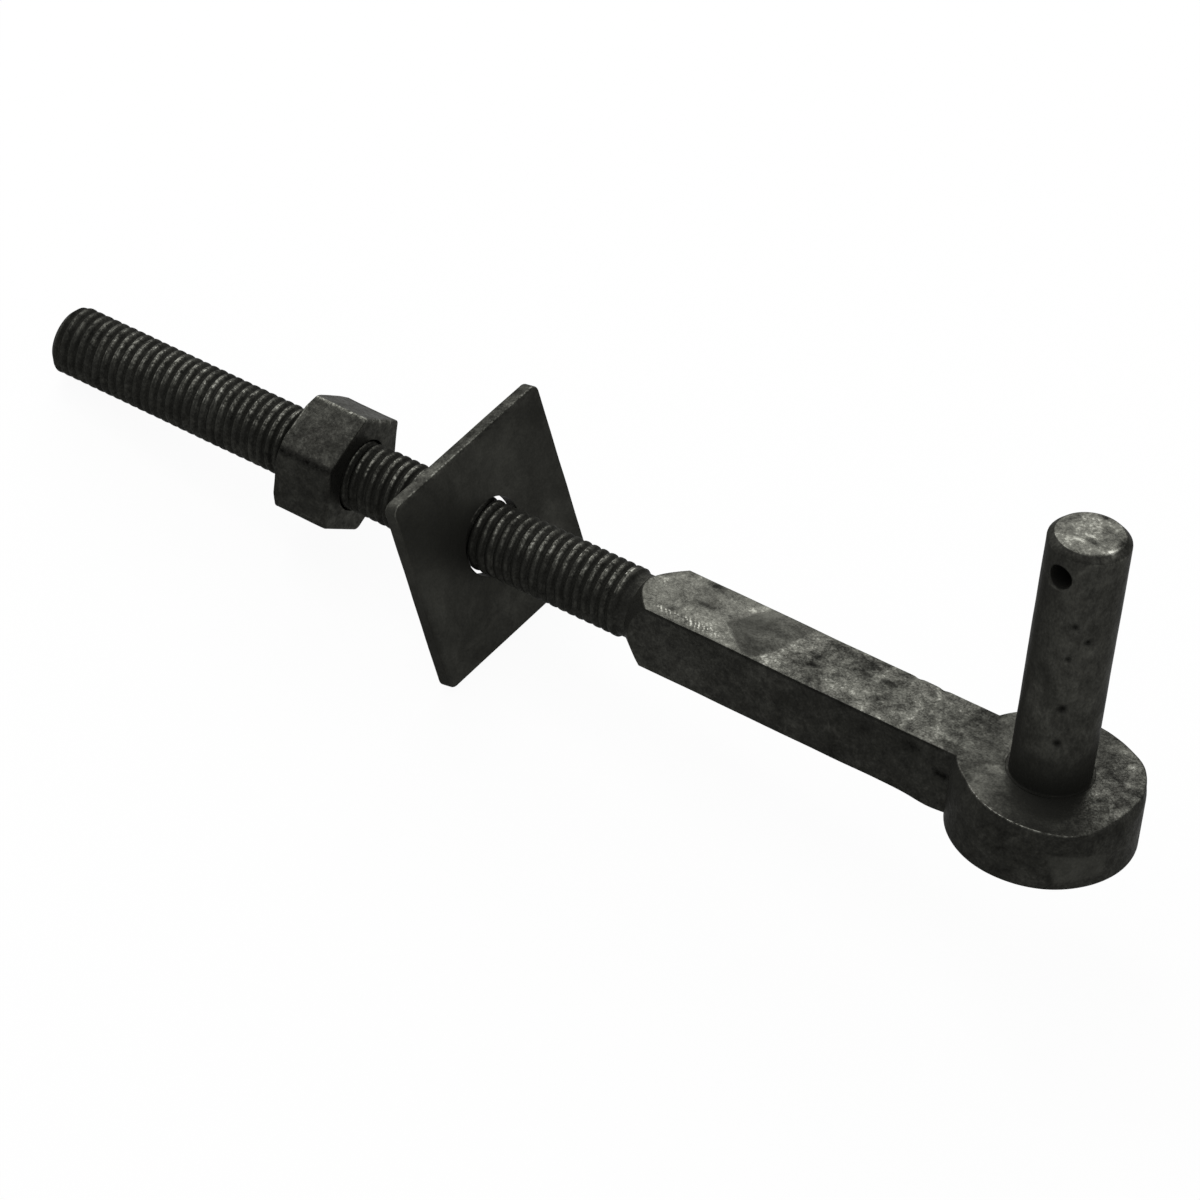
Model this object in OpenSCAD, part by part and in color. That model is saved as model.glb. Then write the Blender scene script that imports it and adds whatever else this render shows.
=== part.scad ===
// Gate hook bolt: a forged bar with a round boss, a square shank and a threaded rod,
// an upright pin riveted in the boss, a square plate washer and a hexagon nut on the rod.
// Origin: where the pin's axis meets the top of the boss. +Z up the pin, the threaded end towards -X.

/* [Boss] */
// Diameter of the round boss
boss_d = 45.5; // [36:0.5:60]
// Height of the boss and of the square shank, which lie flush
bar_h = 17; // [12:0.1:19]
// Chamfer on the top and bottom rim of the boss
boss_rim = 0.8; // [0.2:0.1:2]

/* [Shank] */
// Width of the square shank across the bar
shank_w = 19.6; // [14:0.1:22]
// Distance from the pin's axis to the shank's turned end
shank_reach = 110.8; // [60:0.1:140]
// Length over which the shank's corners are turned back to a cone
shank_turn_len = 6.2; // [2:0.1:10]
// Rounding along the shank's four edges
shank_edge_r = 0.5; // [0.2:0.1:2]

/* [Rod] */
// Crest diameter of the threaded rod
rod_d = 17.6; // [12:0.1:18]
// Pitch of the rod's thread
thread_pitch = 2.5; // [1.5:0.25:4]
// Depth of the thread's roots below its crests
thread_depth = 1; // [0.5:0.1:1.5]
// Distance from the pin's axis to the rod's tip
rod_reach = 281; // [240:1:400]
// Chamfer at the rod's tip
rod_tip_chamfer = 1.5; // [0.5:0.1:3]
// Length of the plain neck between the shank and the thread
neck_len = 3.2; // [1:0.1:6]
// Depth of the neck below the thread's crests
neck_depth = 0.7; // [0.2:0.1:1.5]

/* [Hinge pin] */
// Diameter of the hinge pin
pin_d = 19.4; // [14:0.1:22]
// Height of the pin above the boss
pin_h = 67.3; // [40:0.1:90]
// Chamfer round the pin's top
pin_top_chamfer = 1.6; // [0.4:0.1:3]
// Diameter of the pin's tenon in the boss
tenon_d = 15; // [10:0.1:17]
// Width of the ring-shaped recess round the pin, in the top of the boss
seat_room = 0.7; // [0.2:0.1:2]
// Depth of the recess, on whose floor the pin's shoulder stands
seat_depth = 0.4; // [0.2:0.1:2]
// Depth of the countersink that the tenon is riveted into, under the boss
rivet_depth = 2; // [0.5:0.1:4]
// Diameter of the cross hole for a split pin
split_hole_d = 6; // [3:0.1:8]
// Distance from the pin's top to the middle of the cross hole
split_hole_drop = 7.2; // [6:0.1:20]
// Turn of the cross hole about the pin, from straight across the bar
split_hole_turn = -8; // [-90:1:90]

/* [Plate washer] */
// Side of the square washer
washer_side = 54.2; // [40:0.1:80]
// Thickness of the washer
washer_t = 3.3; // [2:0.1:6]
// Rounding of the washer's corners
washer_corner_r = 2.4; // [0.5:0.1:8]
// Room of the washer's hole round the rod, on the radius
washer_room = 1.3; // [1.2:0.1:3]
// How far the hole is punched off the middle of the plate
washer_hole_off = 0.3; // [0:0.1:2]
// Distance along the rod from the shank's turned end to the washer
washer_from_shank = 42.7; // [25:0.1:55]
// Lean of the washer's upper edge towards the rod's tip
washer_lean = 15.5; // [0:0.5:18]
// Swing of the washer about the upright
washer_swing = -7; // [-10:0.5:10]
// Turn of the washer about the rod
washer_turn = 10.9; // [-45:0.1:45]
// Gap left between the rod and the hole's lower rim, where the rod lies in it
washer_seat_gap = 0.4; // [0.2:0.05:0.5]

/* [Hexagon nut] */
// Width of the nut across its flats
nut_af = 28.8; // [24:0.1:36]
// Length of the nut along the rod
nut_t = 15.7; // [10:0.1:20]
// Distance along the rod from the washer to the nut's near face
nut_from_washer = 38.8; // [12:0.1:50]
// Turn of the nut about the rod, from a corner at the top
nut_turn = -0.7; // [-30:0.1:30]
// Clearance between the nut's bore and the thread's crests, on the radius
thread_clearance = 0.2; // [0.1:0.05:0.4]
// Width of the countersink at each end of the nut's bore
nut_countersink = 0.8; // [0.3:0.1:2]
// Depth to which the nut's corners are turned down, on the face towards the rod's tip
nut_corner_drop = 0.9; // [0.2:0.1:1.5]

/* [Hidden] */
$fn = 96;

forged_black = [0.17, 0.17, 0.16];
turned_black = [0.22, 0.22, 0.20];
plate_black = [0.15, 0.15, 0.14];
nut_black = [0.20, 0.20, 0.18];

axis_z = -bar_h / 2;
rod_r = rod_d / 2;
neck_r = rod_r - neck_depth;
boss_r = boss_d / 2;
pin_r = pin_d / 2;
tenon_r = tenon_d / 2;
seat_r = pin_r + seat_room;
// Length by which a cut runs past the face that it opens
past = 1;
// Half the diagonal of the shank's section: the cone of its turned end reaches this far out
shank_corner_r = norm([shank_w, bar_h]) / 2;
washer_hole_r = rod_r + washer_room;
// Half of the hole's clear height round the level rod, once the washer leans
washer_clear_half = washer_hole_r * cos(washer_lean) - washer_t / 2 * sin(washer_lean);
// Lift of the hole's middle above the rod's axis that leaves the seat gap under the rod
washer_lift = washer_clear_half - rod_r - washer_seat_gap;
washer_reach = shank_reach + washer_from_shank;
nut_reach = washer_reach + nut_from_washer;
nut_bore_r = rod_r + thread_clearance;
nut_corner_r = nut_af / sqrt(3);

// Places its child along the rod: its Z runs along the rod from x towards the boss
module along_rod(x) {
    translate([x, 0, axis_z])
        rotate([0, 90, 0])
            children();
}

// Rectangle with rounded corners, centred
module rounded_plate(size_x, size_y, corner) {
    square([size_x - 2 * corner, size_y], center = true);
    square([size_x, size_y - 2 * corner], center = true);
    for (sx = [-1, 1], sy = [-1, 1])
        translate([sx * (size_x / 2 - corner), sy * (size_y / 2 - corner)])
            circle(r = corner);
}

// Round boss with a chamfered rim, without its hole
module boss() {
    rotate_extrude()
        polygon([
            [0, -bar_h],
            [boss_r - boss_rim, -bar_h],
            [boss_r, -bar_h + boss_rim],
            [boss_r, -boss_rim],
            [boss_r - boss_rim, 0],
            [0, 0],
        ]);
}

// Square shank whose corners are turned back to a cone at the rod's end
module shank() {
    along_rod(-shank_reach)
        intersection() {
            linear_extrude(shank_reach)
                rounded_plate(bar_h, shank_w, shank_edge_r);
            rotate_extrude()
                polygon([
                    [0, 0],
                    [neck_r, 0],
                    [shank_corner_r, shank_turn_len],
                    [shank_corner_r, shank_reach],
                    [0, shank_reach],
                ]);
        }
}

// Rod with its thread as rings at the thread's pitch, its chamfered tip and the plain neck at the shank
module rod() {
    thread_len = rod_reach - shank_reach - neck_len;
    turns = floor((thread_len - rod_tip_chamfer) / thread_pitch);
    along_rod(-rod_reach)
        rotate_extrude()
            polygon([
                [0, 0],
                [rod_r - rod_tip_chamfer, 0],
                [rod_r, rod_tip_chamfer],
                for (turn = [1 : turns], root = [1, 0])
                    [rod_r - root * thread_depth, rod_tip_chamfer + (turn - root / 2) * thread_pitch],
                [neck_r, thread_len + neck_depth],
                [neck_r, thread_len + neck_len + past],
                [0, thread_len + neck_len + past],
            ]);
}

// Hole for the pin's tenon, countersunk under the boss and recessed in its top, run past both faces
module tenon_hole() {
    rotate_extrude()
        polygon([
            [0, -bar_h - past],
            [tenon_r + rivet_depth + past, -bar_h - past],
            [tenon_r, -bar_h + rivet_depth],
            [tenon_r, -seat_depth],
            [seat_r, -seat_depth],
            [seat_r, past],
            [0, past],
        ]);
}

// One forging: boss, shank and rod
module hook_bar() {
    color(forged_black)
        difference() {
            union() {
                boss();
                shank();
                rod();
            }
            tenon_hole();
        }
}

// Pin with a shoulder in the boss's recess and a tenon that is spread into the countersink below
module hinge_pin() {
    color(turned_black)
        difference() {
            rotate_extrude()
                polygon([
                    [0, -bar_h],
                    [tenon_r + rivet_depth, -bar_h],
                    [tenon_r, -bar_h + rivet_depth],
                    [tenon_r, -seat_depth],
                    [pin_r, -seat_depth],
                    [pin_r, pin_h - pin_top_chamfer],
                    [pin_r - pin_top_chamfer, pin_h],
                    [0, pin_h],
                ]);
            translate([0, 0, pin_h - split_hole_drop])
                rotate([90, 0, split_hole_turn])
                    cylinder(h = pin_d + 2 * past, d = split_hole_d, center = true);
        }
}

// Square plate in its own frame: its face is across X, its hole on the X axis
module flat_washer() {
    rotate([0, 90, 0])
        difference() {
            translate([washer_hole_off, 0, -washer_t / 2])
                linear_extrude(washer_t)
                    rounded_plate(washer_side, washer_side, washer_corner_r);
            cylinder(h = washer_t + 2 * past, r = washer_hole_r, center = true);
        }
}

// Washer where it hangs on the rod, leaning back from the hook
module plate_washer() {
    color(plate_black)
        translate([-washer_reach - washer_t / 2, 0, axis_z + washer_lift])
            rotate([washer_turn, -washer_lean, washer_swing])
                flat_washer();
}

// Nut on the thread, with a plain bore at the thread's crests
module hex_nut() {
    color(nut_black)
        along_rod(-nut_reach - nut_t)
            difference() {
                intersection() {
                    rotate([0, 0, nut_turn])
                        cylinder(h = nut_t, r = nut_corner_r, $fn = 6);
                    rotate_extrude()
                        nut_half_section();
                }
                translate([0, 0, -past])
                    cylinder(h = nut_t + 2 * past, r = nut_bore_r);
                for (end = [0, 1])
                    translate([0, 0, end * nut_t])
                        mirror([0, 0, end])
                            cylinder(h = nut_countersink, r1 = nut_bore_r + nut_countersink, r2 = nut_bore_r);
            }
}

// Envelope of the nut: a cone turns down the corners of the face towards the rod's tip
module nut_half_section() {
    face_r = nut_corner_r - nut_corner_drop * sqrt(3);
    polygon([
        [0, 0],
        [face_r, 0],
        [nut_corner_r, nut_corner_drop],
        [nut_corner_r, nut_t],
        [0, nut_t],
    ]);
}

hook_bar();
hinge_pin();
plate_washer();
hex_nut();
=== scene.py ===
"""Gate hook bolt: a forged bar with its hinge pin, and a plate washer and a hexagon nut on the thread.

Shapes are worked out in millimetres, in the part's own frame, and become metres as each mesh is made.
"""
import logging
import math
from dataclasses import dataclass, field
from enum import Enum
from typing import Any, Sequence

import bmesh
import bpy
import numpy as np
from mathutils import Matrix, Vector


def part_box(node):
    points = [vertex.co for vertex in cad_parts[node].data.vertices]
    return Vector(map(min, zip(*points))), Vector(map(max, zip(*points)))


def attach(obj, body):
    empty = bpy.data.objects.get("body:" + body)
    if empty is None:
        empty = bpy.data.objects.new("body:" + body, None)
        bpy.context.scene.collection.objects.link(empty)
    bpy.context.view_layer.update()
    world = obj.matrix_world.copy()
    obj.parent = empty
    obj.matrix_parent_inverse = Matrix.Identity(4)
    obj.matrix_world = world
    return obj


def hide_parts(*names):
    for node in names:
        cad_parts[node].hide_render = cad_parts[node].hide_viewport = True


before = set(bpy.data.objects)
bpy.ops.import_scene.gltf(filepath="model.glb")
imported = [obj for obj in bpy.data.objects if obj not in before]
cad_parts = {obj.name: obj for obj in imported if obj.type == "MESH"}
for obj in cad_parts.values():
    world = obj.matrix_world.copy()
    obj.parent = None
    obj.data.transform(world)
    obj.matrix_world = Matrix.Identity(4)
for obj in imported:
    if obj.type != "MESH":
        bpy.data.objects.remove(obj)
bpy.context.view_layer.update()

MM = 0.001
MERGE_MM = 0.002
SHARP_DEG = 38.0
LOG = logging.getLogger("gate_hook_bolt")

Array = np.ndarray
Point = tuple[float, float, float]


class Body(Enum):
    """Bodies that move against each other."""

    HOOK = "hook"
    WASHER = "washer"
    NUT = "nut"


class Paint(Enum):
    """Values painted on a mesh's points, which the finishes read."""

    EDGE = "edge_wear_and_highlight"
    SHADE = "shade"
    GRAIN = "grain"
    HATCH = "jaw_marks"


def linear(colour: str) -> tuple[float, float, float, float]:
    """Turns an sRGB hex colour into linear RGBA.

    Args:
        colour: Six hex digits after a hash.

    Returns:
        Red, green, blue and an alpha of 1.
    """
    srgb = np.array([int(colour[i:i + 2], 16) for i in (1, 3, 5)]) / 255
    rgb = np.where(srgb <= 0.04045, srgb / 12.92, ((srgb + 0.055) / 1.055) ** 2.4)
    return (*(float(v) for v in rgb), 1.0)


def add_node(tree: bpy.types.NodeTree, kind: str, values: dict[Any, Any], **settings: Any) -> bpy.types.Node:
    """Adds a shader node with its settings, and fills or links its inputs.

    Args:
        tree: Node tree that gets the node.
        kind: Blender's name of the node type.
        values: Input name or index against a constant or another node's output socket.
        **settings: Properties of the node itself.

    Returns:
        The new node.
    """
    node = tree.nodes.new(kind)
    for name, value in settings.items():
        setattr(node, name, value)
    for name, value in values.items():
        if isinstance(value, bpy.types.NodeSocket):
            tree.links.new(value, node.inputs[name])
        else:
            node.inputs[name].default_value = value
    return node


def smoothstep(low: float, high: float, value: Array) -> Array:
    """Eased ramp from 0 at low to 1 at high: t squared times (3 - 2t)."""
    t = np.clip((value - low) / (high - low), 0.0, 1.0)
    return t * t * (3.0 - 2.0 * t)


def box_mm(node: str) -> tuple[Array, Array]:
    """Lowest and highest corner of a CAD node, in millimetres."""
    low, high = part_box(node)
    return np.array(low) / MM, np.array(high) / MM


@dataclass(frozen=True)
class Relief:
    """Unevenness of a worked surface: a sum of plane waves in random directions.

    Attributes:
        seed: Start of the random draws.
        height: Typical push of a point, mm.
        shortest: Shortest wave, mm.
        longest: Longest wave, mm.
        waves: How many waves are added up.
    """

    seed: int
    height: float
    shortest: float
    longest: float
    waves: int = 28

    def push(self, points: Array) -> Array:
        """Works out how far each point is pushed: the sum of vectors times the sine of each wave's phase.

        Args:
            points: Points in mm, in an array whose last axis is x, y, z.

        Returns:
            Pushes in mm, in the same shape.
        """
        draw = np.random.default_rng(self.seed)
        length = np.exp(draw.uniform(np.log(self.shortest), np.log(self.longest), self.waves))
        heading = draw.normal(size=(self.waves, 3))
        heading /= np.linalg.norm(heading, axis=1, keepdims=True)
        size = draw.normal(size=(self.waves, 3)) * np.sqrt(length / self.longest)[:, None]
        phase = draw.uniform(0.0, 2.0 * np.pi, self.waves)
        wave = np.sin(points @ (heading * (2.0 * np.pi / length)[:, None]).T + phase)
        return wave @ size * (self.height / np.sqrt(self.waves / 2.0))


def bell(points: Array, place: Point, reach: Point) -> Array:
    """Bell curve of each point's distance from a place, with its own reach along X, Y and Z."""
    return np.exp(-(((points - np.array(place)) / np.array(reach)) ** 2).sum(axis=-1))


@dataclass(frozen=True)
class Dent:
    """A nick, pit or bulge: points near its middle are pushed along a vector.

    Attributes:
        place: Middle of the dent, mm.
        reach: Distance over which it fades along X, Y and Z, mm.
        shift: How far its middle is pushed, mm.
    """

    place: Point
    reach: Point
    shift: Point

    def push(self, points: Array) -> Array:
        """Push of each point: the shift times a bell curve of the distance to the middle."""
        return np.array(self.shift) * bell(points, self.place, self.reach)[..., None]


@dataclass(frozen=True)
class Spot:
    """A round or drawn-out spot that changes the rubbed share: film rubbed off or left whole, and in a few
    places a painted highlight.

    Attributes:
        place: Middle of the spot, mm.
        reach: Distance over which it fades along X, Y and Z, mm.
        shade: Change of the rubbed share at its middle, below 0 for darker.
    """

    place: Point
    reach: Point
    shade: float

    def paint(self, points: Array) -> Array:
        """Change at each point: a bell curve of the distance to the middle."""
        return self.shade * bell(points, self.place, self.reach)


# Heights between which a point comes to lie on the bar's top, and radii for the boss's wall, mm
TOP_FROM = (-0.6, -0.2)
WALL_FROM = (21.0, 21.6)
# The boss's wall starts at this x, clear of the shank, mm
WALL_START_X = -15.0


class Face(Enum):
    """Faces of the bar that patches of scale lie on."""

    TOP = "top"
    BOSS_WALL = "boss_wall"

    def flat(self, points: Array) -> tuple[Array, Array]:
        """Lays points out flat: x and y on the top, the arc from +X and z on the boss's wall.

        Args:
            points: Points in mm.

        Returns:
            Two coordinates of each point along the face, and 1 where the point is on it.
        """
        x, y, z = np.moveaxis(points, -1, 0)
        if self is Face.TOP:
            return np.stack([x, y], axis=-1), smoothstep(*TOP_FROM, z)
        reach = np.hypot(x, y)
        on_wall = smoothstep(*WALL_FROM, reach) * (x > WALL_START_X)
        return np.stack([np.arctan2(y, x) * reach, z], axis=-1), on_wall


@dataclass(frozen=True)
class Patch:
    """A patch of scale inside straight edges; some patches are painted shade.

    Attributes:
        face: Face that it lies on.
        corners: Corners in the face's two coordinates, mm, anticlockwise round a convex shape.
        shade: Change of the rubbed share inside, below 0 for darker.
        soft: Width over which an edge fades, mm.
    """

    face: Face
    corners: tuple[tuple[float, float], ...]
    shade: float
    soft: float

    def paint(self, points: Array) -> Array:
        """Works out the change at each point: an eased ramp of the distance inside the nearest edge.

        Args:
            points: Points in mm.

        Returns:
            The change of the rubbed share.
        """
        start = np.array(self.corners)
        along = np.roll(start, -1, axis=0) - start
        inward = np.stack([-along[:, 1], along[:, 0]], axis=1) / np.linalg.norm(along, axis=1, keepdims=True)
        place, on_face = self.face.flat(points)
        inside = ((place[..., None, :] - start) * inward).sum(-1).min(-1)
        return self.shade * on_face * smoothstep(-self.soft, self.soft, inside)


@dataclass
class Shell:
    """One closed surface.

    Attributes:
        points: Points in mm, one row each.
        quads: Four point numbers a face.
        edge: Wear of each point, 1 on an edge that is rubbed bright; on the thread it also holds a painted
            highlight.
        upper: 1 at each point of an upper face, 0 elsewhere.
    """

    points: Array
    quads: Array
    edge: Array
    upper: Array


def ring_quads(rows: int, cols: int, closed: bool = False, seam_step: int = 0) -> Array:
    """Numbers the faces of a grid whose columns run round.

    Args:
        rows: Rings of points.
        cols: Points in each ring.
        closed: Whether the last ring joins the first.
        seam_step: Rings by which the surface has moved on after one turn, as a helix does.

    Returns:
        Four point numbers a face.
    """
    row, col = np.meshgrid(np.arange(rows if closed else rows - 1), np.arange(cols), indexing="ij")
    after, beside = row + 1, (col + 1) % cols
    step = np.where(col == cols - 1, seam_step, 0)
    ring_count = rows if closed else rows + seam_step + 1
    corners = [(row, col), ((row + step) % ring_count, beside), ((after + step) % ring_count, beside),
               (after % ring_count, col)]
    quads = np.stack([r * cols + c for r, c in corners], axis=-1).reshape(-1, 4)
    return quads[quads.max(axis=1) < rows * cols]


def ring_shell(points: Array, edge: Array | float, upper: Array | float = 0.0, closed: bool = False,
               seam_step: int = 0) -> Shell:
    """Joins rings of points into a surface.

    Args:
        points: Points in mm, in an array of rings, points and x, y, z.
        edge: Edge wear, with the thread's painted highlight, in an array of rings and points.
        upper: 1 on an upper face, in such an array.
        closed: Whether the last ring joins the first.
        seam_step: Rings by which the surface has moved on after one turn.

    Returns:
        The surface.
    """
    rows, cols = points.shape[:2]
    quads = ring_quads(rows, cols, closed, seam_step)
    worn, top = (np.broadcast_to(value, (rows, cols)).reshape(-1) for value in (edge, upper))
    return Shell(points.reshape(-1, 3), quads, worn, top)


def joined(shells: Sequence[Shell]) -> Shell:
    """Joins surfaces that share a rim into one, whose equal points merge when the mesh is made.

    Args:
        shells: The surfaces.

    Returns:
        One surface.
    """
    counts = np.cumsum([0] + [len(shell.points) for shell in shells])
    quads = [shell.quads + start for shell, start in zip(shells, counts)]
    points, edge, upper = (np.concatenate(values) for values in zip(
        *((shell.points, shell.edge, shell.upper) for shell in shells)))
    return Shell(points, np.concatenate(quads), edge, upper)


def shell_mesh(name: str, shell: Shell, shade: Array | float, grain: Array | float,
               hatch: Array | float = 0.0) -> bpy.types.Mesh:
    """Makes a closed mesh of one surface, with its equal points merged and its faces outwards.

    Args:
        name: Name of the mesh.
        shell: The surface, mm.
        shade: Rubbed share of each of its points, which also carries painted light and shade.
        grain: Strength of the mottling at each of its points.
        hatch: Strength of the jaw marks at each of its points.

    Returns:
        The mesh, in metres.
    """
    mesh = bpy.data.meshes.new(name)
    mesh.from_pydata((shell.points * MM).tolist(), [], shell.quads.tolist())
    for paint, values in zip(Paint, (shell.edge, shade, grain, hatch)):
        layer = mesh.attributes.new(paint.value, "FLOAT", "POINT")
        each = np.broadcast_to(values, len(shell.points))
        layer.data.foreach_set("value", np.ascontiguousarray(each, np.float32))
    sheet = bmesh.new()
    sheet.from_mesh(mesh)
    bmesh.ops.remove_doubles(sheet, verts=sheet.verts, dist=MERGE_MM * MM)
    bmesh.ops.dissolve_degenerate(sheet, edges=sheet.edges, dist=MERGE_MM * MM)
    bmesh.ops.recalc_face_normals(sheet, faces=sheet.faces)
    sheet.to_mesh(mesh)
    sheet.free()
    return mesh


def make_piece(name: str, meshes: Sequence[bpy.types.Mesh], material: bpy.types.Material) -> bpy.types.Object:
    """Puts meshes together in one object with smooth faces and sharp edges.

    Args:
        name: Name of the object.
        meshes: Closed meshes, which are used up.
        material: Finish of the whole piece.

    Returns:
        The object, at the origin.
    """
    whole = bmesh.new()
    for mesh in meshes:
        whole.from_mesh(mesh)
        bpy.data.meshes.remove(mesh)
    mesh = bpy.data.meshes.new(name)
    whole.to_mesh(mesh)
    whole.free()
    mesh.materials.append(material)
    piece = bpy.data.objects.new(name, mesh)
    bpy.context.scene.collection.objects.link(piece)
    smooth(mesh)
    return piece


def smooth(mesh: bpy.types.Mesh) -> None:
    """Shades a mesh smooth, apart from its sharp edges."""
    mesh.shade_smooth()
    mesh.set_sharp_from_angle(angle=math.radians(SHARP_DEG))


def stands_for(piece: bpy.types.Object, node: str, body: Body) -> None:
    """Lets a piece stand for a CAD node and move with its body.

    Args:
        piece: The finished object.
        node: CAD node that it stands for.
        body: Body that it moves with.
    """
    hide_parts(node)
    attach(piece, body.value)
    LOG.info("%s stands for %s on %s: %d faces", piece.name, node, body.value, len(piece.data.polygons))


@dataclass(frozen=True)
class Mottle:
    """One size of mottling.

    Attributes:
        size: Size of its patches, mm.
        detail: How many finer sizes are mixed in.
        warp: How far its patches are drawn out of shape.
        spread: Swing of the noise at which it is fully light or dark: less is sharper.
        weight: Change of the rubbed share between its middle and its lightest patches.
    """

    size: float
    detail: float
    warp: float
    spread: float
    weight: float


@dataclass(frozen=True)
class BlackScale:
    """Steel under a black film of scale and oil: dark, faintly olive, a soft sheen, grey where rubbed.

    Attributes:
        name: Name of the material.
        film: Colour of the film.
        rubbed: Colour where it is worn thin.
        powder: Colour of the film's matt part.
        soot: Its colour in the darkest marks.
        soot_level: Rubbed share of those marks, below 0.
        glint: Colour of the barest flecks.
        rough: Roughness where rubbed and where the film is whole.
        dull: Matt share where rubbed and where the film is whole.
        clouds: Broad patches.
        patches: Mottling, which also breaks up the worn edges and gives the surface's relief.
        specks: Small bright and dark specks.
        glint_from: Rubbed share at which a fleck starts to show bare, and is bare.
        relief: Depth of the surface's grain, mm.
        rim_light: Brightness of the steel where it is seen at a flat angle.
        wear: Change of the rubbed share on a worn edge.
        fleck_from: Sum of two noises at which that wear starts, and is whole.
        fine_share: Strength of each finer size of mottling against the one above it.
        stretch: Stretch of the mottling along X, Y and Z.
        jaw_pitch: Distance between the lines that a vice's jaws left, mm.
        jaw_heading: Direction across those lines.
        jaw_waver: How far their phase wavers, in radians.
        jaw_from: Height of their wave at which a line starts, and is whole.
    """

    name: str
    film: str = "#141412"
    rubbed: str = "#5a5a54"
    powder: str = "#2e2e2b"
    soot: str = "#0d0d0c"
    soot_level: float = -0.4
    glint: str = "#8e8e87"
    rough: tuple[float, float] = (0.30, 0.44)
    dull: tuple[float, float] = (0.15, 0.7)
    clouds: Mottle = Mottle(8.0, 3.0, 0.6, 0.22, 0.38)
    patches: Mottle = Mottle(2.0, 8.0, 0.5, 0.26, 0.46)
    specks: Mottle = Mottle(0.6, 3.0, 0.3, 0.16, 0.27)
    glint_from: tuple[float, float] = (0.85, 1.45)
    relief: float = 0.2
    rim_light: float = 0.55
    wear: float = 0.8
    fleck_from: tuple[float, float] = (0.74, 1.14)
    fine_share: float = 0.65
    stretch: Point = (1.0, 1.0, 1.0)
    jaw_pitch: float = 0.95
    jaw_heading: Point = (0.83, 0.55, 0.0)
    jaw_waver: float = 14.0
    jaw_from: tuple[float, float] = (0.1, 0.8)

    def material(self) -> bpy.types.Material:
        """Builds the material's nodes.

        Returns:
            The material: the rubbed share follows the painted values and three sizes of noise, and sets the
            colour, the roughness and the matt share.
        """
        material = bpy.data.materials.new(self.name)
        material.use_nodes = True
        tree = material.node_tree
        tree.nodes.clear()
        place = add_node(tree, "ShaderNodeTexCoord", {}).outputs["Object"]
        drawn = add_node(tree, "ShaderNodeMapping", {
            0: place, "Scale": [1.0 / s for s in self.stretch]}).outputs[0]
        edge, shade, grain, hatch = (
            add_node(tree, "ShaderNodeAttribute", {}, attribute_name=paint.value).outputs["Fac"]
            for paint in Paint)
        # Clouds, patches and specks of thick and thin film
        uneven: Any = 0.0
        noises = {}
        for layer in (self.clouds, self.patches, self.specks):
            noises[layer] = add_node(tree, "ShaderNodeTexNoise", {
                "Vector": drawn, "Scale": 1.0 / (layer.size * MM), "Detail": layer.detail,
                "Roughness": self.fine_share, "Distortion": layer.warp}).outputs["Fac"]
            swing = add_node(tree, "ShaderNodeMapRange", {
                "Value": noises[layer], "From Min": 0.5 - layer.spread, "From Max": 0.5 + layer.spread,
                "To Min": -layer.weight, "To Max": layer.weight}).outputs[0]
            uneven = add_node(tree, "ShaderNodeMath", {0: swing, 1: uneven}).outputs[0]
        mottled = add_node(tree, "ShaderNodeMath", {0: uneven, 1: grain, 2: shade},
                           operation="MULTIPLY_ADD").outputs[0]
        # Edges rubbed bright in broken flecks, and the thread's crests as a painted highlight
        coarse, fine = noises[self.patches], noises[self.specks]
        rubbing = add_node(tree, "ShaderNodeMath", {0: coarse, 1: fine}).outputs[0]
        fleck = add_node(tree, "ShaderNodeMapRange", {
            "Value": rubbing, "From Min": self.fleck_from[0], "From Max": self.fleck_from[1],
            "To Max": self.wear}).outputs[0]
        edged = add_node(tree, "ShaderNodeMath", {0: edge, 1: fleck, 2: mottled},
                         operation="MULTIPLY_ADD").outputs[0]
        # Short bright lines left by a vice's jaws
        across = [2.0 * math.pi / (self.jaw_pitch * MM) * c for c in self.jaw_heading]
        phase = add_node(tree, "ShaderNodeVectorMath", {0: place, 1: across},
                         operation="DOT_PRODUCT").outputs["Value"]
        uneven_phase = add_node(tree, "ShaderNodeMath", {0: coarse, 1: self.jaw_waver, 2: phase},
                                operation="MULTIPLY_ADD").outputs[0]
        wave = add_node(tree, "ShaderNodeMath", {0: uneven_phase}, operation="SINE").outputs[0]
        lines = add_node(tree, "ShaderNodeMapRange", {
            "Value": wave, "From Min": self.jaw_from[0], "From Max": self.jaw_from[1]}).outputs[0]
        jaw = add_node(tree, "ShaderNodeMath", {0: lines, 1: hatch}, operation="MULTIPLY").outputs[0]
        level = add_node(tree, "ShaderNodeMath", {0: jaw, 1: fleck, 2: edged},
                         operation="MULTIPLY_ADD").outputs[0]
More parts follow.
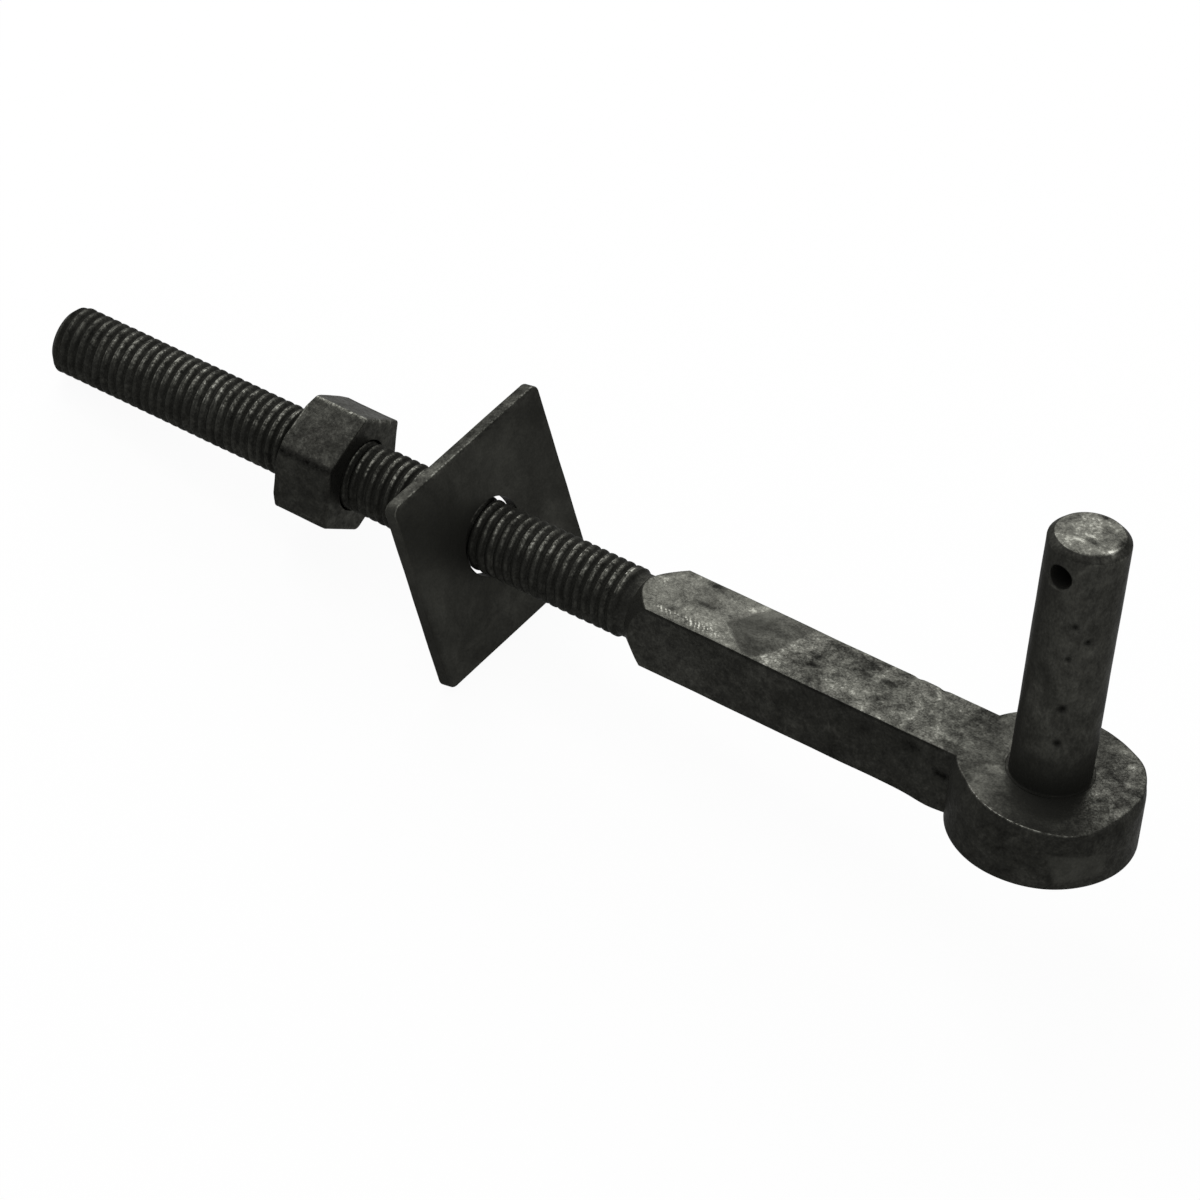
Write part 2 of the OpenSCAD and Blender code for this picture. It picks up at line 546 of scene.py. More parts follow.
        # Colour, from the whole film to thin film and bare flecks
        bare = add_node(tree, "ShaderNodeMapRange", {"Value": level}).outputs[0]
        thin = add_node(tree, "ShaderNodeMix", {0: bare, 6: linear(self.film), 7: linear(self.rubbed)},
                        data_type="RGBA").outputs[2]
        barest = add_node(tree, "ShaderNodeMapRange", {
            "Value": level, "From Min": self.glint_from[0], "From Max": self.glint_from[1]}).outputs[0]
        colour = add_node(tree, "ShaderNodeMix", {0: barest, 6: thin, 7: linear(self.glint)},
                          data_type="RGBA").outputs[2]
        rough = add_node(tree, "ShaderNodeMapRange", {
            "Value": bare, "To Min": self.rough[1], "To Max": self.rough[0]}).outputs[0]
        height = add_node(tree, "ShaderNodeMath", {0: coarse, 1: grain}, operation="MULTIPLY").outputs[0]
        bumped = add_node(tree, "ShaderNodeBump", {
            "Height": height, "Distance": self.relief * MM, "Strength": 1.0}).outputs[0]
        steel = add_node(tree, "ShaderNodeBsdfPrincipled", {
            "Base Color": colour, "Metallic": 1.0, "Roughness": rough, "Normal": bumped,
            "Specular Tint": (self.rim_light,) * 3 + (1.0,)}).outputs[0]
        # Matt part of the film, which keeps the hollows from going black
        sooty = add_node(tree, "ShaderNodeMapRange", {
            "Value": level, "From Min": 0.0, "From Max": self.soot_level}).outputs[0]
        black = add_node(tree, "ShaderNodeMix", {0: sooty, 6: linear(self.powder), 7: linear(self.soot)},
                         data_type="RGBA").outputs[2]
        matt = add_node(tree, "ShaderNodeBsdfDiffuse", {"Color": black}).outputs[0]
        dull = add_node(tree, "ShaderNodeMapRange", {
            "Value": bare, "To Min": self.dull[1], "To Max": self.dull[0]}).outputs[0]
        scale = add_node(tree, "ShaderNodeMixShader", {0: dull, 1: steel, 2: matt}).outputs[0]
        add_node(tree, "ShaderNodeOutputMaterial", {"Surface": scale})
        return material


# Hot forged bar: thick scale with broad patches, rubbed grey on its upper faces
FORGED_SCALE = BlackScale("forged_steel_black_scale")
# Drawn and turned bar: thinner film, mottled along its length
TURNED_SCALE = BlackScale("turned_bar_black_oiled", patches=Mottle(2.2, 8.0, 0.4, 0.22, 0.45),
                          relief=0.08, stretch=(1.0, 1.0, 1.5))
# Rolled plate: smooth mill scale in soft clouds
PLATE_SCALE = BlackScale("rolled_plate_mill_scale", clouds=Mottle(14.0, 3.0, 1.0, 0.2, 0.4),
                         patches=Mottle(4.0, 8.0, 0.8, 0.25, 0.35), relief=0.06)
# Forged nut: mottled scale, edges rubbed bright
NUT_SCALE = BlackScale("forged_nut_black_scale", clouds=Mottle(6.0, 3.0, 0.6, 0.22, 0.35))


@dataclass
class HookBar:
    """Forged bar: a round boss, a square shank and a rod with a right-hand thread. Sizes in mm."""

    shank_w: float = 19.6
    shank_reach: float = 110.8
    shank_turn_len: float = 6.2
    shank_edge_r: float = 0.3
    neck_depth: float = 0.7
    neck_len: float = 3.2
    tip_chamfer: float = 1.5
    pitch: float = 2.5
    # Thread's form: share of a pitch from the crest's middle, drop below the crest diameter, and wear
    thread_form: tuple[Point, ...] = (
        (0.0, 0.0, 0.6), (0.13, 0.03, 1.3), (0.23, 0.2, 0.7), (0.33, 0.5, 0.2), (0.42, 0.8, 0.0),
        (0.5, 0.88, 0.0))
    # Share of that wear at the tip, and the length over which it grows to the whole
    tip_wear: float = 0.4
    tip_wear_len: float = 22.0
    # Degrees from +Y between which the crests' wear shows whole, a painted highlight along the rod's upper
    # side where the lamps catch it, the ease at each end, and the wear elsewhere
    highlit_crests: tuple[float, float] = (74.0, 146.0)
    highlight_ease: float = 14.0
    dim_crests: float = 0.08
    tenon_r: float = 7.5
    seat_r: float = 10.4
    seat_depth: float = 0.4
    rivet_depth: float = 2.0
    wall_r: float = 22.6
    flush_r: float = 20.9
    flush_dive: float = 0.03
    rim_round: float = 0.4
    # Hammered rim of the boss's top: azimuth in degrees against its radius and its drop
    rim: tuple[Point, ...] = (
        (-180, 21.8, 0), (-152, 21.9, 0), (-132, 20.7, 0), (-108, 21.4, 0), (-91, 21.9, 0.1),
        (-78, 22.3, 0.3), (-66, 22.6, 0.5), (-55, 22.9, 0.8), (-49, 23.0, 1.0), (-38, 22.9, 0.7),
        (-27, 22.5, 0.3), (-18, 22.1, 0), (-2, 21.7, 0), (10, 22.1, 0), (44, 22.4, 0), (58, 21.5, 0),
        (74, 21.2, 0), (87, 21.3, 0), (140, 21.7, 0))
    # Its wear: azimuth of the middle of the worn front, half its width, and the wear elsewhere
    worn_front: Point = (-88.0, 46.0, 0.35)
    # Azimuths either side of the boss, between which that wear ends at the shank
    rim_end: tuple[float, float] = (140.0, 150.0)
    relief: Relief = Relief(seed=7, height=0.06, shortest=9.0, longest=60.0)
    thread_relief: Relief = Relief(seed=11, height=0.03, shortest=2.5, longest=20.0)
    dents: tuple[Dent, ...] = (
        Dent((-41.0, 9.8, 0.0), (0.9, 0.8, 0.8), (0.0, -0.22, -0.15)),
        Dent((-34.2, 9.8, 0.0), (1.0, 0.8, 0.8), (0.0, -0.22, -0.15)),
        Dent((-44.7, -3.3, 0.0), (0.9, 0.6, 1.0), (0.0, 0.0, -0.35)),
        Dent((-23.5, -9.8, -7.2), (0.7, 1.0, 0.8), (0.0, 0.35, 0.0)),
        Dent((-21.6, -9.8, -7.3), (0.6, 1.0, 0.7), (0.0, 0.35, 0.0)),
        Dent((-25.0, -9.0, -17.0), (5.0, 4.0, 3.0), (0.0, 0.0, -0.8)),
    )
    # Rubbed share along X, of the upper faces and of the others: wear, and on the upper faces also painted
    # light that lightens them
    upper_wear_and_light: tuple[tuple[float, float], ...] = (
        (-112.0, 0.1), (-110.0, 0.64), (-85.0, 0.62), (-60.0, 0.54), (-26.0, 0.51), (-18.0, 0.32),
        (-13.0, 0.37), (-8.0, 0.43), (0.0, 0.31), (10.0, 0.35), (18.0, 0.38))
    side_share: tuple[tuple[float, float], ...] = (
        (-281.0, 0.08), (-113.0, 0.08), (-110.0, 0.31), (-95.0, 0.29), (-70.0, 0.14), (0.0, 0.09),
        (15.0, 0.17))
    # Strength of the mottling along X on the upper faces, and on the others
    upper_grain: tuple[tuple[float, float], ...] = (
        (-112.0, 0.6), (-82.0, 0.55), (-74.0, 0.85), (-24.0, 0.8), (-14.0, 0.55), (-4.0, 0.5),
        (8.0, 0.55), (13.0, 0.8))
    side_grain: float = 0.48
    # Smooth patches of scale on the shank's top and the boss's wall, whose mottling is weaker too; the one on
    # the top is also darker, as painted shade in place of a facet tilted from the lamps
    calm: tuple[Patch, ...] = (
        Patch(Face.TOP, ((-87.1, -1.5), (-78.4, -9.1), (-74.7, -7.9), (-72.1, -2.8), (-69.1, 8.7),
                         (-69.0, 11.0), (-80.5, 11.0)), -0.27, 0.45),
        Patch(Face.BOSS_WALL, ((-24.0, -6.6), (-21.0, -14.5), (-9.0, -14.5), (-8.0, -8.6)), 0.2, 0.45),
    )
    # Change of the rubbed share just under the shank's upper edges
    under_edge: float = -0.3
    marks: tuple[Spot | Patch, ...] = (
        Spot((-80.6, 8.2, 0.0), (4.0, 3.4, 1.0), 0.24),
        Spot((-73.2, -7.6, 0.0), (1.6, 1.0, 1.0), 0.14),
        Spot((-70.6, 0.5, 0.0), (1.0, 4.0, 1.0), 0.16),
        Spot((-75.0, 8.8, 0.0), (4.0, 1.6, 1.0), 0.08),
        Spot((-72.0, -9.8, -3.0), (1.2, 1.0, 2.5), 0.2),
        Spot((-78.0, -7.0, 0.0), (3.0, 3.0, 1.0), -0.1),
        Spot((-96.1, 8.5, 0.0), (2.0, 1.0, 1.0), -0.5),
        Spot((-94.6, 0.6, 0.0), (2.6, 1.0, 1.0), -0.35),
        Spot((-100.1, -6.0, 0.0), (1.0, 0.9, 1.0), -0.5),
        Spot((-62.3, 7.9, 0.0), (2.6, 1.4, 1.0), -0.45),
        Spot((-58.5, 7.2, 0.0), (1.6, 1.0, 1.0), -0.45),
        Spot((-63.2, 1.0, 0.0), (3.5, 0.9, 1.0), -0.5),
        Spot((-63.2, -2.2, 0.0), (1.2, 0.8, 1.0), -0.5),
        Spot((-51.6, 7.1, 0.0), (2.2, 2.0, 1.0), -0.6),
        Spot((-51.2, 2.5, 0.0), (1.8, 1.3, 1.0), -0.4),
        Spot((-44.8, 3.5, 0.0), (2.4, 1.4, 1.0), -0.5),
        Spot((-62.2, -6.8, 0.0), (4.0, 1.5, 1.0), -0.35),
        Spot((-44.7, -3.0, 0.0), (0.9, 0.6, 1.0), -0.7),
        Spot((-50.8, -4.5, 0.0), (5.0, 2.5, 1.0), 0.25),
        Spot((-36.0, -2.8, 0.0), (1.5, 1.0, 1.0), 0.3),
        Spot((-26.8, -4.6, 0.0), (2.0, 2.2, 1.0), 0.3),
        Spot((-20.0, 3.5, 0.0), (5.0, 5.0, 1.0), -0.24),
        Spot((-9.8, -8.0, 0.0), (2.0, 1.5, 1.0), 0.3),
        Spot((-13.5, -4.4, 0.0), (4.0, 4.0, 1.0), 0.12),
        Spot((14.8, 12.4, 0.0), (1.5, 2.6, 1.5), 0.38),
        Spot((9.5, 16.8, 0.0), (3.0, 1.2, 1.5), 0.3),
        Spot((16.9, 6.8, 0.0), (1.5, 1.5, 1.5), 0.26),
        Spot((15.2, 11.5, 0.0), (1.0, 1.0, 1.0), -0.3),
        Spot((-73.5, -9.8, -5.5), (2.5, 1.5, 2.0), 0.16),
        Spot((-69.5, -9.8, -10.5), (1.3, 1.5, 4.0), 0.2),
        Spot((-23.5, -9.8, -7.2), (1.0, 1.0, 0.9), -0.6),
        Spot((-21.6, -9.8, -7.3), (0.8, 1.0, 0.8), -0.6),
        Spot((-31.0, -9.8, -3.2), (2.4, 1.0, 1.4), -0.25),
        Spot((-44.0, -9.8, -4.5), (3.0, 1.0, 1.8), -0.2),
        Spot((-52.0, -9.8, -10.0), (5.0, 1.0, 2.4), 0.08),
        # Painted shade: a darker band on the boss's wall, under the overhang of its rim
        Patch(Face.BOSS_WALL, ((-27.4, -6.5), (-8.0, -8.0), (-5.0, -1.2), (-27.0, -1.2)), -0.08, 0.7),
        Patch(Face.BOSS_WALL, ((-6.0, -16.2), (9.0, -16.2), (9.0, -1.0), (-4.0, -1.0)), 0.1, 1.5),
    )
    jaw_marks: tuple[Spot, ...] = (
        Spot((-91.5, -7.2, 0.0), (5.0, 1.3, 1.0), 1.0),
        Spot((-100.5, -7.0, 0.0), (3.0, 1.0, 1.0), 0.7),
    )
    low: Array = field(init=False)
    high: Array = field(init=False)
    rod_r: float = field(init=False)
    axis_z: float = field(init=False)
    half_h: float = field(init=False)
    bottom: float = field(init=False)
    neck_r: float = field(init=False)

    def __post_init__(self) -> None:
        """Takes the bar's reach, height and rod from the CAD node's box."""
        self.low, self.high = box_mm("hook_bar")
        self.rod_r = (self.high[2] - self.low[2]) / 2
        self.axis_z = (self.high[2] + self.low[2]) / 2
        self.half_h = -self.axis_z
        self.bottom = 2 * self.axis_z
        self.neck_r = self.rod_r - self.neck_depth

    def around_rod(self, x: Array, r: Array, angle: Array) -> Array:
        """Points at a place along the rod, a radius and an angle from +Y towards +Z."""
        return np.stack(np.broadcast_arrays(x, r * np.cos(angle), self.axis_z + r * np.sin(angle)), axis=-1)

    def rod_shell(self, cols: int = 76) -> Shell:
        """Threaded rod with a chamfered tip and a plain neck.

        Rings follow the helix, x = tip + pitch (turns + angle / one turn), so that crests and roots lie along
        mesh edges. The radius is the crest's less the thread form's drop, and is held under the tip's chamfer
        and the neck.

        Args:
            cols: Points in each turn.

        Returns:
            The closed surface.
        """
        tip, end = self.low[0], -self.shank_reach + 2.0
        neck = -self.shank_reach - self.neck_len
        half = np.array(self.thread_form).T
        before = half[:, :0:-1] * np.array([[-1.0], [1.0], [1.0]])
        phase, form, worn = np.concatenate([before, half[:, :-1]], axis=1)
        turn_count = math.ceil((end - tip) / self.pitch) + 2
        turns = (np.arange(turn_count)[:, None] + phase).reshape(-1, 1)
        angle = np.linspace(0.0, 2 * np.pi, cols, endpoint=False)
        # Painted highlight: the crests' wear shows whole only in the band of the rod that the lamps light
        first, last = (smoothstep(at - self.highlight_ease, at + self.highlight_ease, np.degrees(angle))
                       for at in self.highlit_crests)
        bright = first * (1.0 - last)
        x = np.clip(tip + self.pitch * (turns - 1 + angle / (2 * np.pi)), tip, end)
        drop = np.tile(form, turn_count)[:, None] * (1.0 - smoothstep(neck - self.pitch, neck, x))
        tip_r = self.rod_r - self.tip_chamfer
        ceiling = np.minimum(tip_r + (x - tip), self.rod_r)
        ceiling = np.where(x > neck, np.maximum(self.rod_r - (x - neck), self.neck_r), ceiling)
        plain = self.around_rod(x, np.minimum(self.rod_r - drop, ceiling), angle)
        loose = smoothstep(tip, tip + 2.0, x) * (1.0 - smoothstep(end - 2.0, end, x))
        points = plain + self.thread_relief.push(plain) * loose[..., None]
        crest = np.tile(worn, turn_count)[:, None] * (1.0 - smoothstep(neck - 1.0, neck + 1.0, x))
        crest = crest * (self.tip_wear + (1.0 - self.tip_wear) * smoothstep(0.0, self.tip_wear_len, x - tip))
        wear = crest * (self.dim_crests + (1.0 - self.dim_crests) * bright)
        thread = ring_shell(points, wear, seam_step=len(phase))
        share = np.array([1.0, 0.96, 0.6, 0.3, 0.0])[:, None]
        face = ring_shell(self.around_rod(tip, share * tip_r, angle), 0.0)
        back = ring_shell(self.around_rod(end, share * self.neck_r, angle), 0.0)
        return joined([face, thread, back])

    def section(self, per_side: Sequence[int] = (40, 24, 14, 16), per_corner: int = 6) -> Array:
        """Outline of the square shank round the rod's axis: four straight sides and four corner arcs.

        Args:
            per_side: Points along the top, the near side, the bottom and the far side.
            per_corner: Points round a corner.

        Returns:
            The points y, z.
        """
        half_y, half_z = self.shank_w / 2 - self.shank_edge_r, self.half_h - self.shank_edge_r
        sweep = np.linspace(0.0, np.pi / 2, per_corner)
        corner_at = np.array([[half_y, half_z], [-half_y, half_z], [-half_y, -half_z], [half_y, -half_z]])
        turn = np.arange(4)[:, None] * np.pi / 2 + sweep
        arcs = corner_at[:, None] + self.shank_edge_r * np.stack([np.cos(turn), np.sin(turn)], axis=-1)
        line = []
        for arc, following, count in zip(arcs, np.roll(arcs, -1, axis=0), per_side):
            share = np.linspace(0.0, 1.0, count + 2)[1:-1, None]
            line += [arc, arc[-1] + share * (following[0] - arc[-1])]
        return np.concatenate(line)

    def shank_shell(self) -> Shell:
        """Square shank from its turned end to inside the boss.

        The section is carried along X. Near the rod a point is drawn in to the cone of the turned end, whose
        radius grows steadily from the neck. Inside a circle just within the boss's rim, the section shrinks
        a little, to lie under the boss's skin.

        Returns:
            The closed surface.
        """
        start, wall, end = -self.shank_reach, -23.0, -16.0
        turned = start + self.shank_turn_len + 1.5
        x = np.concatenate([np.linspace(start, turned, 34), np.linspace(turned, wall, 150)[1:],
                            np.linspace(wall, end, 32)[1:]])[:, None]
        outline = self.section()
        reach = np.linalg.norm(outline, axis=1)
        corner_r = math.hypot(self.shank_w, 2 * self.half_h) / 2
        cone = self.neck_r + (x - start) * (corner_r - self.neck_r) / self.shank_turn_len
        inside = smoothstep(-self.flush_r - 0.5, -self.flush_r, -np.hypot(x, outline[:, 0]))
        share = np.minimum(1.0, cone / reach) * (1.0 - self.flush_dive * inside)
        y, z = outline[:, 0] * share, self.axis_z + outline[:, 1] * share
        points = np.stack(np.broadcast_arrays(x, y, z), axis=-1)
        middle = np.array([1.0, 0.0, 0.0]) * points + np.array([0.0, 0.0, self.axis_z])
        points = np.concatenate([middle[:1], points, middle[-1:]])
        upper = smoothstep(self.half_h - 0.12, self.half_h - 0.02, outline[:, 1])
        return ring_shell(points, 0.0, upper)

    def rim_line(self, azimuth: Array) -> tuple[Array, Array]:
        """Works out the boss's top rim: straight between its points, then eased over five columns.

        Args:
            azimuth: Azimuths from +X, in radians.

        Returns:
            Its radius and its drop at each azimuth.
        """
        at, reach, drop = np.array(self.rim).T
        plain = [np.interp(np.degrees(azimuth), at, value, period=360.0) for value in (reach, drop)]
        eased = [np.mean([np.roll(value, k) for k in range(-2, 3)], axis=0) for value in plain]
        return eased[0], eased[1]

    def boss_shell(self, cols: int = 176) -> Shell:
        """Round boss with the hole for the pin's tenon.

        A profile of radius and height is carried round the pin's axis and closes on itself through the hole.
        Its rim follows the hammered outline, which fades into the round wall just below.

        Args:
            cols: Points in each ring.

        Returns:
            The closed surface.
        """
        azimuth = np.linspace(-np.pi, np.pi, cols, endpoint=False)
        rim, drop = self.rim_line(azimuth)
        bevel, inner, wall = self.rim_round, self.seat_r + 0.15, self.wall_r
        rows: list[tuple[Array | float, Array | float, float]] = [
            (self.tenon_r, -self.seat_depth, 0.0), (self.seat_r, -self.seat_depth, 0.0),
            (self.seat_r, -0.12, 0.0), (inner, 0.0, 0.0)]
        for share in np.linspace(0.04, 1.0, 18):
            rows.append((inner + share * (rim - bevel - inner), -drop * smoothstep(0.55, 1.0, share), 0.0))
        top_rings = len(rows) + 1
        for turn, worn in zip(np.linspace(0.0, np.pi / 2, 6)[1:], (0.8, 1.0, 0.8, 0.4, 0.0)):
            rows.append((rim - bevel * (1 - math.sin(turn)), -drop - bevel * (1 - math.cos(turn)), worn))
        top = -drop - bevel
        for share in np.linspace(0.0, 1.0, 37)[1:]:
            spread = 1.0 - smoothstep(0.0, 0.2, share)
            rows.append((wall + (rim - wall) * spread, top + share * (self.bottom + bevel - top), 0.0))
        for turn in np.linspace(0.0, np.pi / 2, 6)[1:]:
            rows.append((wall - bevel * (1 - math.cos(turn)), self.bottom + bevel * (1 - math.sin(turn)),
                         0.0))
        rivet_r = self.tenon_r + self.rivet_depth
        for share in np.linspace(0.0, 1.0, 9)[1:]:
            rows.append((wall - bevel + share * (rivet_r - wall + bevel), self.bottom, 0.0))
        rows.append((self.tenon_r, self.bottom + self.rivet_depth, 0.0))
        flat, out, across = np.ones(cols), np.cos(azimuth), np.sin(azimuth)
        points = np.stack([np.stack([r * out, r * across, z * flat], axis=-1) for r, z, _ in rows])
        degrees, (middle, width, elsewhere) = np.degrees(azimuth), self.worn_front
        front = np.exp(-(((degrees - middle) / width) ** 4))
        open_rim = (elsewhere + (1.0 - elsewhere) * front) * (
            1.0 - smoothstep(*self.rim_end, np.abs(degrees)))
        edge = np.stack([worn * open_rim for _, _, worn in rows])
        upper = np.arange(len(rows))[:, None] < top_rings
        return ring_shell(points, edge, upper, closed=True)

    def shade(self, shell: Shell) -> Array:
        """Works out the rubbed share at each point: wear, with painted light on the upper faces and painted
        shade in some marks.

        Args:
            shell: Surface of the shank, the boss or the rod.

        Returns:
            The faces' own share, which changes along X, with the marks and the dark line under the
            shank's upper edges.
        """
        upper, side = (np.interp(shell.points[:, 0], *np.array(table).T)
                       for table in (self.upper_wear_and_light, self.side_share))
        marks = sum(mark.paint(shell.points) for mark in (*self.calm, *self.marks))
        x, _, z = shell.points.T
        on_shank = (x > -self.shank_reach + 2.0) * (x < -self.wall_r)
        under = smoothstep(-1.0, -0.3, z) * (1.0 - shell.upper) * on_shank
        return side + (upper - side) * shell.upper + marks + self.under_edge * under

    def grain(self, shell: Shell) -> Array:
        """Works out the strength of the mottling at each point.

        Args:
            shell: Surface of the shank, the boss or the rod.

        Returns:
            The upper faces' own strength, which changes along X, or the others', and half of it in the
            smooth patches.
        """
        upper = np.interp(shell.points[:, 0], *np.array(self.upper_grain).T)
        calm = sum(patch.paint(shell.points) / patch.shade for patch in self.calm)
        return (self.side_grain + (upper - self.side_grain) * shell.upper) * (1.0 - 0.5 * calm)

    def build(self) -> bpy.types.Object:
        """Builds the bar and lets it stand for its CAD node.

        Returns:
            The finished object.
        """
        forged = [self.shank_shell(), self.boss_shell()]
        for shell in forged:
            bed = shell.points.copy()
            shell.points = bed + self.relief.push(bed) + sum(dent.push(bed) for dent in self.dents)
        meshes = [shell_mesh("hook_bar", shell, self.shade(shell), self.grain(shell),
                             sum(mark.paint(shell.points) for mark in self.jaw_marks))
                  for shell in [self.rod_shell(), *forged]]
        piece = make_piece("hook_bar_forging", meshes, FORGED_SCALE.material())
        stands_for(piece, "hook_bar", Body.HOOK)
        return piece


@dataclass
class HingePin:
    """Upright pin, riveted in the boss, with a cross hole near its top. Sizes in mm, azimuths in degrees."""

    tenon_r: float = 7.5
    seat_depth: float = 0.4
    rivet_depth: float = 2.0
    chamfer_h: float = 1.6
    chamfer_w: float = 1.6
    hole_r: float = 3.0
    hole_drop: float = 7.2
    hole_azimuth: float = -98.0
    relief: Relief = Relief(seed=23, height=0.04, shortest=6.0, longest=40.0)
    foot_r: float = 10.38
    side_share: float = 0.38
    # Share on the pin's left side, lower as painted shade
    shaded_side_share: float = 0.22
    low_share: float = 0.23
    # Share on the top: wear, and painted light that lightens it
    top_wear_and_light: float = 0.68
    chamfer_share: float = 0.12
    side_grain: float = 0.4
    top_grain: float = 0.62
    hole_share: float = 0.1
    # Direction of the pin's left side, which is darker as painted shade
    shaded_side_way: Point = (-0.87, -0.5, 0.0)
    # Height up to which the pin is darker
    dark_foot_height: float = 10.0
    # Pits: azimuth, height and size
    pits: tuple[Point, ...] = (
        (-64.5, 25.1, 0.9), (-63.2, 15.1, 0.8), (-65.7, 48.1, 0.7), (-45.0, 44.1, 0.6), (-67.7, 39.0, 0.6))
    pit_depth: float = 0.35
    pit_share: float = -0.76
    marks: tuple[Spot, ...] = (
        # Painted highlight on the cross hole's lower rim
        Spot((-2.4, -9.4, 56.7), (1.5, 1.5, 0.35), 0.5),
        Spot((1.7, -2.6, 67.3), (1.6, 1.2, 1.0), -0.5),
        Spot((-0.3, 7.3, 67.3), (0.8, 0.6, 1.0), -0.7),
        Spot((3.5, 3.0, 67.3), (3.0, 2.5, 1.0), -0.15),
        Spot((7.6, 1.5, 67.3), (0.9, 2.2, 1.0), -0.6),
        # Painted highlight on the top's front rim
        Spot((7.3, -3.2, 67.3), (1.0, 0.8, 0.6), 0.9),
        Spot((0.5, -0.8, 67.3), (1.5, 0.5, 1.0), 0.4),
        Spot((-0.7, -3.6, 67.3), (1.6, 0.8, 1.0), 0.3),
    )
    low: Array = field(init=False)
    high: Array = field(init=False)
    pin_r: float = field(init=False)

    def __post_init__(self) -> None:
        """Takes the pin's height and radius from the CAD node's box."""
        self.low, self.high = box_mm("hinge_pin")
        self.pin_r = (self.high[0] - self.low[0]) / 2

    def pin_shell(self, cols: int = 128) -> Shell:
        """Pin as a profile of radius and height carried round its axis, closed at both poles.

        Args:
            cols: Points in each ring.

        Returns:
            The closed surface.
        """
        top, bottom, r = self.high[2], self.low[2], self.pin_r
        rivet_r, face_r = self.tenon_r + self.rivet_depth, r - self.chamfer_w
        rows = [(0.0, bottom, 0.0), (5.0, bottom, 0.0), (rivet_r, bottom, 0.0),
                (self.tenon_r, bottom + self.rivet_depth, 0.0), (self.tenon_r, -self.seat_depth, 0.0),
                (self.foot_r, -self.seat_depth, 0.0), (self.foot_r, -0.03, 0.0),
                (r + 0.03, -0.02, 0.0), (r, 0.03, 0.0)]
        rows += [(r, z, 0.0) for z in np.linspace(0.5, top - self.chamfer_h - 0.25, 126)]
        rows += [(r - 0.05, top - self.chamfer_h, 0.3), (r - 0.2, top - self.chamfer_h + 0.2, 0.2)]
        rows += [(face_r + 0.2, top - 0.2, 0.1), (face_r, top - 0.05, 0.25), (face_r - 0.25, top, 0.1)]
        rows += [(share * (face_r - 0.25), top, 0.0) for share in np.linspace(1.0, 0.0, 16)[1:]]
        radius, height, edge = np.array(rows).T[:, :, None]
        azimuth = np.linspace(-np.pi, np.pi, cols, endpoint=False)
        x, y = radius * np.cos(azimuth), radius * np.sin(azimuth)
        points = np.stack(np.broadcast_arrays(x, y, height), axis=-1)
        return ring_shell(points, np.broadcast_to(edge, points.shape[:2]))

    def hole_shell(self, cols: int = 56) -> Shell:
        """Cross hole as a round bar through the pin, closed at both ends.

        Args:
            cols: Points in each ring.

        Returns:
            The closed surface.
        """
        turn = np.linspace(0.0, 2 * np.pi, cols, endpoint=False)
        half = self.pin_r + 2.0
        radius = np.array([0.0, 1.0, 1.0, 0.0])[:, None] * self.hole_r
        along = np.array([-half, -half, half, half])[:, None]
        azimuth = math.radians(self.hole_azimuth)
        out_x, out_y = math.cos(azimuth), math.sin(azimuth)
        across = radius * np.cos(turn)
        points = np.stack([along * out_x - across * out_y, along * out_y + across * out_x,
                           self.high[2] - self.hole_drop + radius * np.sin(turn)], axis=-1)
        return ring_shell(points, 0.0)

    def weather(self, points: Array) -> tuple[Array, Array, Array]:
        """Pits the pin, and works out its rubbed share and its mottling.

        Args:
            points: Points of the plain pin.

        Returns:
            The points with relief and pits, the share at each (less low down, on the left as painted shade
            and in the pits, more on top as wear and painted light), and the strength of the mottling.
        """
        z = points[:, 2]
        # Painted shade: the pin's left side is darker
        left = smoothstep(0.2, 0.9, points @ np.array(self.shaded_side_way) / self.pin_r)
        side = self.side_share + (self.shaded_side_share - self.side_share) * left
        on_top = smoothstep(self.high[2] - 0.3, self.high[2] - 0.05, z)
        loose = 1.0 - smoothstep(self.high[2] - 3.0, self.high[2] - 1.5, z)
        moved = points + self.relief.push(points) * loose[:, None]
        above = smoothstep(self.dark_foot_height - 1.5, self.dark_foot_height + 1.5, z)
        share = self.low_share + (side - self.low_share) * above
        turned = smoothstep(-0.1, 0.3, z - self.high[2] + self.chamfer_h)
        share = share + (self.chamfer_share - share) * turned
        share = share + (self.top_wear_and_light - share) * on_top
        for azimuth, height, size in self.pits:
            out = np.array([math.cos(math.radians(azimuth)), math.sin(math.radians(azimuth)), 0.0])
            middle = tuple(self.pin_r * out + np.array([0.0, 0.0, height]))
            moved = moved + Dent(middle, (size,) * 3, tuple(-self.pit_depth * out)).push(points)
            share = share + Spot(middle, (size,) * 3, self.pit_share).paint(points)
        grain = self.side_grain + (self.top_grain - self.side_grain) * on_top
        return moved, share + sum(mark.paint(points) for mark in self.marks), grain

    def build(self) -> bpy.types.Object:
        """Builds the pin, drills it and lets it stand for its CAD node.

        Returns:
            The finished object.
        """
        shell = self.pin_shell()
        shell.points, share, grain = self.weather(shell.points)
        mesh = shell_mesh("hinge_pin", shell, share, grain)
        piece = make_piece("hinge_pin_turned", [mesh], TURNED_SCALE.material())
        tunnel = shell_mesh("cross_hole", self.hole_shell(), self.hole_share, self.side_grain)
        drill = make_piece("cross_hole", [tunnel], piece.data.materials[0])
        cut = piece.modifiers.new("cross_hole", "BOOLEAN")
        cut.operation, cut.solver, cut.object = "DIFFERENCE", "EXACT", drill
        drilled = bpy.data.meshes.new_from_object(piece.evaluated_get(bpy.context.evaluated_depsgraph_get()))
        piece.modifiers.clear()
        piece.data = drilled
        bpy.data.objects.remove(drill)
        smooth(drilled)
        stands_for(piece, "hinge_pin", Body.HOOK)
        return piece


